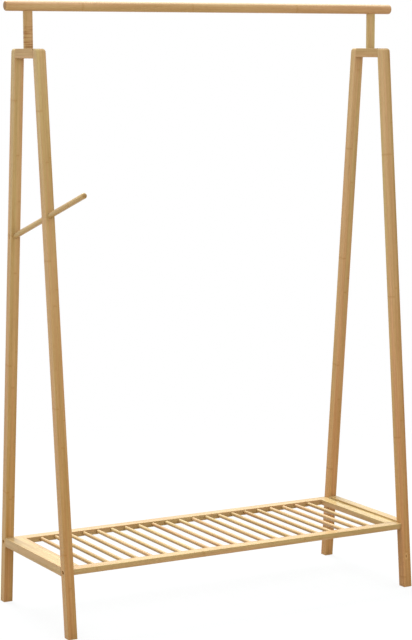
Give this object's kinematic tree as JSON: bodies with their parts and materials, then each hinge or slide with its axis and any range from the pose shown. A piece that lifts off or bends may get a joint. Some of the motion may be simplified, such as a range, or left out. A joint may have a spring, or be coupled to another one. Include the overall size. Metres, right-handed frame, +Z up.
{
  "type": "clothes rack",
  "caption": "Free-standing bamboo clothes rack: two A-frames of leaning square legs, a round hanging rail on flat posts, a slatted shelf and a slanted side dowel.",
  "frame": {"origin": "on the floor, under the middle of the rack's bounding box: midway along the hanging rail, and midway between the side dowel's tip in front and the rear feet behind", "axes": "+X along the hanging rail to the right as seen from the front, +Y from the front to the rear, +Z up"},
  "size_m": [1.1, 0.5156, 1.5275],
  "materials": {
    "bamboo": "satin",
    "steel": "satin"
  },
  "bodies": {
    "root": {"leg_front_left": "bamboo", "leg_rear_left": "bamboo", "leg_front_right": "bamboo", "leg_rear_right": "bamboo", "top_block_left": "bamboo", "top_block_right": "bamboo", "rail_post_left": "bamboo", "rail_post_right": "bamboo", "hanging_rail": "bamboo", "stretcher_left": "bamboo", "stretcher_right": "bamboo", "shelf_rail_front": "bamboo", "shelf_rail_rear": "bamboo", "shelf_end_left": "bamboo", "shelf_end_right": "bamboo", "shelf_slat_01": "bamboo", "shelf_slat_02": "bamboo", "shelf_slat_03": "bamboo", "shelf_slat_04": "bamboo", "shelf_slat_05": "bamboo", "shelf_slat_06": "bamboo", "shelf_slat_07": "bamboo", "shelf_slat_08": "bamboo", "shelf_slat_09": "bamboo", "shelf_slat_10": "bamboo", "shelf_slat_11": "bamboo", "shelf_slat_12": "bamboo", "shelf_slat_13": "bamboo", "shelf_slat_14": "bamboo", "shelf_slat_15": "bamboo", "shelf_slat_16": "bamboo", "shelf_slat_17": "bamboo", "shelf_slat_18": "bamboo", "shelf_slat_19": "bamboo", "shelf_slat_20": "bamboo", "shelf_slat_21": "bamboo", "side_dowel": "bamboo", "shelf_bolt_front_left": "steel", "shelf_bolt_rear_left": "steel", "shelf_bolt_front_right": "steel", "shelf_bolt_rear_right": "steel", "barrel_nut_front_left": "steel", "barrel_nut_rear_left": "steel", "barrel_nut_front_right": "steel", "barrel_nut_rear_right": "steel", "post_screw_left": "steel", "post_screw_right": "steel", "rail_screw_left": "steel", "rail_screw_right": "steel", "side_dowel_screw": "steel"}
  },
  "joints": []
}
